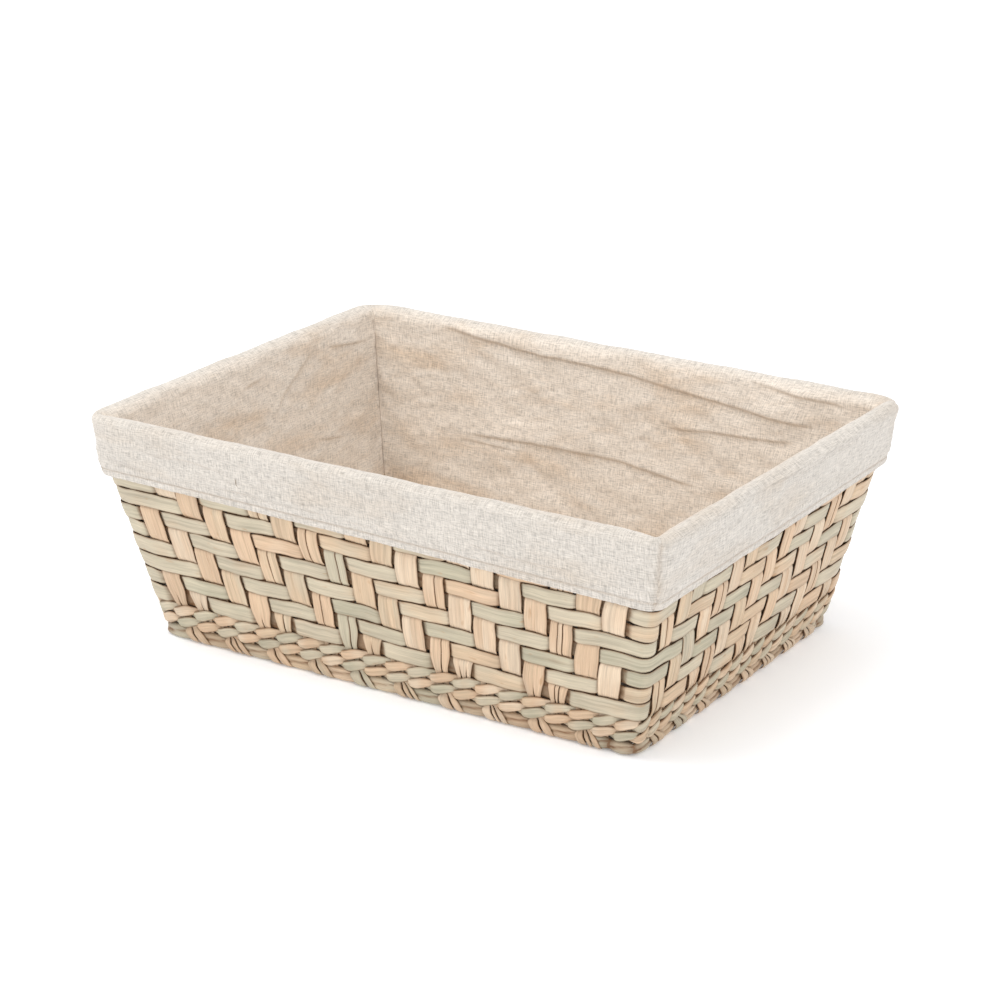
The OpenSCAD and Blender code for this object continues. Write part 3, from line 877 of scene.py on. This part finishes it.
# Folds of the slack cloth inside: side, line of (s, z) in mm, how far it stands out, its width
LONG_FOLD = (
    (125, 127), (90, 122.5), (60, 119.6), (28, 119.3),
    (-18, 117), (-63, 112.7), (-104, 108.8), (-139, 107),
)
WALL_FOLDS = (
    (2, LONG_FOLD, 1.5, 2.6),
    (2, ((-35, 91), (-65, 94), (-86, 94.7), (-108, 95.2), (-128, 98)), 1.0, 2.2),
    (2, ((99, 65.3), (73, 66.5), (42, 67.5), (-11, 67.7), (-67, 61.2)), 1.2, 2.4),
    (2, ((106, 61.7), (80, 61.4), (51, 61.5)), 0.6, 1.6),
    (2, ((-83, 127), (-119, 123.5), (-141, 122.8), (-154, 120)), 1.1, 2.2),
    (3, ((14, 111.6), (0, 113.9), (-12, 115)), 0.8, 1.8),
    (3, ((-71, 117.3), (-98, 113.6), (-120, 111.2)), 1.0, 2.2),
    (3, ((-47, 68), (-84, 62)), 0.8, 2.0),
    (3, ((48, 130), (24, 125)), 0.8, 2.0),
    (3, ((-10, 80), (-12, 89), (-27, 101), (-50, 113.5), (-66, 121)), 1.0, 2.2),
    (0, ((110, 95), (60, 99), (5, 97), (-40, 101)), 0.9, 2.4),
    (0, ((-120, 70), (-60, 66), (0, 70), (50, 67)), 1.0, 2.4),
    (1, ((-80, 84), (-30, 88), (20, 86)), 0.9, 2.4),
    (1, ((-20, 112), (30, 115), (85, 111)), 1.0, 2.2),
)
# Folds of the cuff: side, line of (s, z), how far it stands out, its width
CUFF_FOLDS = (
    (1, ((-34, 126.5), (-8, 125.2), (14, 124.6), (42, 124.9), (85, 124.2)), 0.9, 1.1),
    (1, ((-104, 119), (-70, 118), (-46, 121)), 0.7, 1.6),
    (1, ((-36, 106), (-22, 113), (-8, 118.5)), 1.0, 1.8),
    (1, ((-92, 101), (-62, 104), (-38, 103)), 0.7, 1.8),
    (1, ((4, 101), (24, 107), (50, 113)), 0.9, 2.0),
    (1, ((48, 101), (75, 105), (98, 112)), 0.8, 2.0),
    (0, ((-171, 107), (-151, 104), (-131, 101.5)), 0.6, 1.3),
    (0, ((-140, 113), (-110, 116), (-80, 113)), 0.35, 2.2),
    (0, ((-100, 103.5), (-75, 102.8), (-38, 102.3), (12, 100.8), (48, 100.7)), 0.4, 0.8),
    (0, ((60, 106), (95, 103.5), (135, 104.5)), 0.4, 2.0),
    (2, ((-130, 116), (-60, 113), (0, 115), (70, 112)), 0.5, 2.0),
    (2, ((20, 102), (60, 105), (100, 103)), 0.45, 2.2),
    (3, ((-90, 114), (-30, 112), (40, 115)), 0.5, 2.0),
    (3, ((-20, 101), (25, 104), (70, 102)), 0.45, 2.2),
)


def fold_relief(s, z, line, height, width):
    """Cloth that bulges over a line and drops in under it, and the shade of the drop."""
    knots = np.array(sorted(line)) * MM
    at = np.linspace(knots[0, 0], knots[-1, 0], 121)
    level = np.interp(at, knots[:, 0], knots[:, 1])
    soft = np.convolve(np.pad(level, 12, "edge"), np.hanning(25) / np.hanning(25).sum(), "valid")
    d = (z - np.interp(s, at, soft)) / (width * MM)
    length = knots[-1, 0] - knots[0, 0]
    end = smooth(np.minimum(s - knots[0, 0], knots[-1, 0] - s) / min(18 * MM, length / 2.2))
    bulge = smooth(d / 0.8 + 0.5) * np.exp(-np.clip(d, 0, None) / 4.5)
    relief = height * MM * end * (bulge * 1.15 - 0.35 * bump(d, -1.2, 1.1))
    return relief, 0.6 * end * bump(d, -0.1, 0.26)


def profile():
    """The cloth's path from the floor seam, up, over the rim, down and into the hem: (off, z)."""
    turns = [math.radians(a) for a in range(180, -1, -12)]
    arc = [(ROLL_OFF + ROLL_R * math.cos(a), ROLL_Z + ROLL_R * math.sin(a)) for a in turns]
    hem_top = CUFF_Z + HEM_H
    down = [(2.5 * MM, ROLL_Z - 9 * MM), (2.7 * MM, hem_top + 4 * MM), (2.95 * MM, hem_top)]
    fold = ((3.0, 1.2), (2.82, 0.3), (2.45, 0.0), (2.07, 0.4), (1.98, 1.3))
    hem = [(off * MM, CUFF_Z + up * MM) for off, up in fold]
    return [WALL_FOOT, *arc, *down, *hem, (1.98 * MM, hem_top - 0.3 * MM)]


def resampled(points):
    """The path in short steps, shorter at the hem's fold, and how far along it each point lies."""
    points = np.array(points)
    lengths = np.concatenate([[0], np.cumsum(np.linalg.norm(np.diff(points, axis=0), axis=1))])
    last = lengths[-1]
    fold = last - 2 * HEM_H
    v = np.concatenate([np.arange(0, fold, 0.85 * MM), np.arange(fold, last, 0.45 * MM), [last]])
    return path_at(v, lengths, points), v


def path_at(v, lengths, points):
    return np.stack([np.interp(v, lengths, points[:, i]) for i in range(2)], -1)


PATH, PATH_V = resampled(profile())
TOP_V = PATH_V[np.argmax(PATH[:, 1])]
FOLD_V = PATH_V[len(PATH_V) - np.argmin(PATH[::-1, 1][:60]) - 1]
flow = np.gradient(PATH, axis=0)
flow /= np.linalg.norm(flow, axis=1)[:, None]
PATH_NORMAL = np.stack([-flow[:, 1], flow[:, 0]], 1)  # inwards, up at the rim, outwards at the cuff


def fold_sum(k, folds_of_all, s, z):
    """The relief and the shade of all of side k's folds together."""
    rise, dark = np.zeros_like(s), np.zeros_like(s)
    for side, line, height, width in folds_of_all:
        if side == k:
            up, shade = fold_relief(s, z, line, height, width)
            rise, dark = rise + up, dark + shade
    return rise, dark


def panel_relief(k, s, edge_d, v, z):
    """How far the cloth of side k stands off its plain path, and the painted shade of its creases, seams
    and stitch groove.
    edge_d is the distance to the panel's nearer corner seam."""
    inner = 1 - smooth((v - (TOP_V - 9 * MM)) / (6 * MM))
    outer = smooth((v - (TOP_V + 4 * MM)) / (4 * MM))
    crest = (1 - inner) * (1 - outer)
    hem = smooth((CUFF_Z + HEM_H + 3 * MM - z) / (4 * MM)) * outer
    wall_rise, wall_painted_shade = fold_sum(k, WALL_FOLDS, s, z)
    cuff_rise, cuff_painted_shade = fold_sum(k, CUFF_FOLDS, s, z)
    rise = wall_rise * inner + 1.7 * cuff_rise * outer * (1 - hem)
    dark = wall_painted_shade * inner + 0.8 * cuff_painted_shade * outer * (1 - hem)
    # Slack in the wall, in the cuff and over the rim
    slack = 1.7 * wander(s + 0.5 * z, 60 + k, 110 * MM) * wander(z - 0.3 * s, 70 + k, 75 * MM)
    slack += 0.8 * wander(s - 0.8 * z, 80 + k, 38 * MM) * wander(z + 0.4 * s, 90 + k, 45 * MM)
    slack += 0.35 * wander(0.25 * s + z, 92 + k, 16 * MM) * wander(s, 97 + k, 60 * MM)
    wave = wander(s + 0.3 * z, 65 + k, 48 * MM) * wander(s, 66 + k, 150 * MM)
    ripple = 0.25 * wander(s, 75 + k, 60 * MM) + 0.06 * wander(s + v, 77 + k, 9 * MM)
    rise = rise + MM * (slack * inner + (0.25 + 0.25 * wave) * outer + ripple * crest)
    # The corner seams, with the puckers that run from them and painted shade along their dips
    fade = smooth(edge_d / (7 * MM))
    seam = bump(edge_d, 0, 1.3 * MM)
    pucker = np.exp(-edge_d / (9 * MM)) * wander(v + 0.2 * edge_d, 85 + k, 11 * MM) * 0.35 * MM
    rise = rise * fade + pucker * smooth(edge_d / (1.5 * MM))
    rise = rise - 1.1 * MM * seam * inner - 0.3 * MM * seam * outer
    dark = dark * fade + 0.95 * seam * inner + 0.45 * seam * outer
    # The hem: gathers, the line of its stitching with painted shade in its groove, and the edge of its
    # inner layer
    rise = rise + 0.12 * MM * wander(s, 95 + k, 5.5 * MM, 2) * hem * fade
    rise = rise * smooth((z - FLOOR_Z) / (10 * MM))
    groove = bump(z, CUFF_Z + STITCH_H, 0.55 * MM) * outer * (v < FOLD_V)
    ridge = bump(z, CUFF_Z + HEM_H + 1.2 * MM, 0.8 * MM) * outer
    tuck = 1.1 * MM * bump(edge_d, 0, 9 * MM) * (1 - inner) * smooth((z - 106 * MM) / (12 * MM))
    return rise - tuck + (0.35 * ridge - 0.5 * groove) * MM, np.clip(dark + 0.75 * groove, 0, 1)


def cloth_points(k, f, path=PATH, normal=PATH_NORMAL, v=PATH_V, lift=0.0):
    """Points of side k's cloth: f runs from -1 to 1 across the side, the path from floor to hem."""
    z0, vv = (column[:, None] * np.ones_like(f) for column in (path[:, 1], v))
    half = corner_s(k, path[:, 1])[:, None]
    s = f * half
    edge_d = half * (1 - np.abs(f))
    rise, dark = panel_relief(k, s, edge_d, vv, z0)
    layer = vv > FOLD_V  # the hem's inner layer follows the outer one
    along_off = np.where(layer, 1.0, normal[:, 0][:, None])
    along_z = np.where(layer, 0.0, normal[:, 1][:, None])
    droop = np.interp(f, [-1, 0, 1], HEM_DROOP[k]) * MM
    # From 0 at the rim to 1 at the hem, where smooth(0.9) is 0.972
    on_cuff = np.where(vv > TOP_V, smooth((ROLL_Z - z0) / (ROLL_Z - CUFF_Z) * 0.9), 0) / 0.972
    off = path[:, 0][:, None] + along_off * rise + lift
    z = z0 + along_z * rise + droop * on_cuff
    return wall(k, s, z, off), s, dark


def grid_faces(rows, columns):
    a = (np.arange(rows - 1)[:, None] * columns + np.arange(columns - 1)).ravel()
    return np.stack([a, a + columns, a + columns + 1, a + 1], 1)


def cloth_mesh(name, points, faces, uv, tone, edge):
    mesh = bpy.data.meshes.new(name)
    mesh.from_pydata(points.reshape(-1, 3).tolist(), [], faces.tolist())
    layer = mesh.uv_layers.new(name="strip")
    layer.data.foreach_set("uv", uv.reshape(-1, 2)[faces.ravel()].astype(np.float32).ravel())
    for word, value in (("tone", tone), ("edge", edge)):
        values = np.broadcast_to(value, points.shape[:-1]).ravel().astype(np.float32)
        mesh.attributes.new(word, "FLOAT", "POINT").data.foreach_set("value", values)
    return mesh


def thicken(piece):
    solidify = piece.modifiers.new("cloth", "SOLIDIFY")
    solidify.thickness = CLOTH_T
    solidify.offset = 0


def liner_panel(k):
    """One side's cloth: the inner wall, the roll over the rim and the cuff with its hem."""
    columns = int(2 * corner_s(k, 0.1) / (1.5 * MM))
    f = np.linspace(-1, 1, columns)
    f = np.sign(f) * (1 - (1 - np.abs(f)) ** 1.3)
    points, s, dark = cloth_points(k, f)
    uv = np.stack([s + 0.5 * k, PATH_V[:, None] + 0.3 * k + 0 * s], -1)
    # 1 on the inner wall, 0 on the cuff: where the linen's painted inside light is used
    inside = 1 - smooth((PATH_V - (TOP_V - 7 * MM)) / (8 * MM))
    name = f"liner_panel_{SIDES[k]}"
    mesh = cloth_mesh(name, points, grid_faces(*s.shape), uv, inside[:, None], dark)
    nodes = [f"liner_wall_{SIDES[k]}", f"cuff_{SIDES[k]}"]
    piece = finish_piece(name, mesh, CLOTH, "liner", nodes)
    thicken(piece)
    hem_thread(k)


def thread(strips, centre, slim, along, up, out, tone, edge, seed):
    """A short length of thread along centre; slim is its radius at each point."""
    a = np.linspace(0, 2 * math.pi, 6, endpoint=False)[None, :, None]
    grid = centre[:, None, :] + slim[:, None, None] * (np.cos(a) * up + np.sin(a) * out)
    strips.add(grid, np.zeros(grid.shape[:2]), along, False, tone, 1.0, edge, seed)


STITCH, STITCH_PITCH = 2.1 * MM, 3.0 * MM
SEAM_MARKS = 6  # needle holes down each right-hand corner seam
SIDEWAYS, FORWARDS = np.eye(3)[0], np.eye(3)[1]


def hem_thread(k):
    """The machine stitches along side k's hem, and down its right-hand corner seam."""
    strips = Strips()
    down, down_v = -PATH[PATH_V > TOP_V, 1][:70], PATH_V[PATH_V > TOP_V][:70]
    around = float(np.interp(-(CUFF_Z + STITCH_H), down, down_v))
    half = float(corner_s(k, CUFF_Z))
    count = int(2 * half / STITCH_PITCH)
    t = np.linspace(-1, 1, 5)
    rounded = np.sqrt(np.clip(1.02 - t**2, 0.05, 1))
    v = np.array([around])
    for i in range(count):
        f = (-half + (i + 0.5) * 2 * half / count + t * STITCH / 2) / half
        path = path_at(v, PATH_V, PATH)
        centre = cloth_points(k, f, path, OUTWARD, v, CLOTH_T / 2 + 0.02 * MM)[0][0]
        along = centre[-1] - centre[0]
        along = along / np.linalg.norm(along)
        out = np.cross(along, [0, 0, 1.0])
        up = np.cross(out, along)
        thread(strips, centre, 0.17 * MM * rounded, t * STITCH, up, out, 0.35, 0.6, i % 7)
    for i in range(SEAM_MARKS):
        v = around - (i - 1.2) * 1.9 * MM + t * 0.45 * MM
        f, normal = np.array([0.994]), np.repeat(OUTWARD, len(t), axis=0)
        path = path_at(v, PATH_V, PATH)
        centre = cloth_points(k, f, path, normal, v, CLOTH_T / 2 + 0.2 * MM)[0][:, 0]
        slim = 0.2 * MM * rounded
        thread(strips, centre, slim, t * STITCH, SIDEWAYS, FORWARDS, 0.35, 1.0, i)
    return strips.build(f"hem_stitches_{SIDES[k]}", CLOTH, "liner", [])


def loose_thread():
    """A short dark end of thread that stands out of the front cuff."""
    strips = Strips()
    line = np.array(((-77.6, 112.0), (-77.2, 109.5), (-76.4, 106.6))) * MM
    t = np.linspace(0, 1, 9)
    s, z = path_at(t, np.linspace(0, 1, len(line)), line).T
    centre = wall(0, s + 0.35 * MM * np.sin(7 * t), z, 3.35 * MM)
    slim = 0.16 * MM * np.sqrt(np.clip(1.03 - (2 * t - 1) ** 2, 0.05, 1))
    thread(strips, centre, slim, t * 5 * MM, SIDEWAYS, FORWARDS, 0.0, 1.0, 3)
    return strips.build("loose_thread", CLOTH_DARK, "liner", [])


def elastic_ribbon():
    """The elastic inside the hem, right round."""
    lo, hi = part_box("hem_elastic")
    section = ((2.33 * MM, lo.z), (2.72 * MM, lo.z), (2.72 * MM, hi.z), (2.33 * MM, hi.z))
    v = np.array([FOLD_V - 3 * MM])
    parts = []
    for k, s, end, along in round_basket((lo.z + hi.z) / 2, 2 * MM):
        edges = [cloth_points(k, s / end, np.array([corner]), OUTWARD, v)[0][0] for corner in section]
        parts.append((np.stack(edges, 1), along))
    grid, along = joined(parts)
    across = np.broadcast_to([z - lo.z for _, z in section], grid.shape[:2])
    strips = Strips()
    strips.add(grid, across, along, True, 0.0, 1.0, 0.0, 2)
    strips.build("elastic_ribbon", CLOTH, "liner", ["hem_elastic"])


def floor_cloth():
    """The liner's floor, laid on the base and seamed to the walls' feet."""
    rings = np.concatenate([np.linspace(0, 0.9, 26), np.linspace(0.92, 1, 8)])
    f = np.linspace(-1, 1, 80, endpoint=False)
    ends = [wall(k, f * corner_s(k, FLOOR_Z), FLOOR_Z, WALL_FOOT[0])[:, :2] for k in range(4)]
    rim = np.concatenate(ends)
    points = rings[:, None, None] * rim
    x, y = points[..., 0], points[..., 1]
    puff = 0.9 * MM * (1 + wander(x + 0.5 * y, 31, 90 * MM) * wander(y - 0.3 * x, 32, 70 * MM))
    puff = puff * smooth((1 - rings)[:, None] * 8)
    points = np.concatenate([points, (FLOOR_Z + puff)[..., None]], -1)
    n = len(rim)
    a = np.arange(len(rings) - 1)[:, None] * n
    j = np.arange(n)
    faces = np.stack([a + j, a + n + j, a + n + (j + 1) % n, a + (j + 1) % n], -1).reshape(-1, 4)
    # Painted shade along the seam at the walls' feet; the whole floor cloth takes the painted inside
    # light
    seam = 0.6 * bump(1 - rings, 0, 0.012)[:, None]
    mesh = cloth_mesh("liner_floor_cloth", points, faces, points[..., :2], 1.0, seam)
    piece = finish_piece(mesh.name, mesh, CLOTH, "liner", ["liner_floor"])
    weld = piece.modifiers.new("middle", "WELD")  # the smallest ring closes to one point
    weld.merge_threshold = 0.02 * MM
    thicken(piece)


for side in range(4):
    liner_panel(side)
loose_thread()
elastic_ribbon()
floor_cloth()
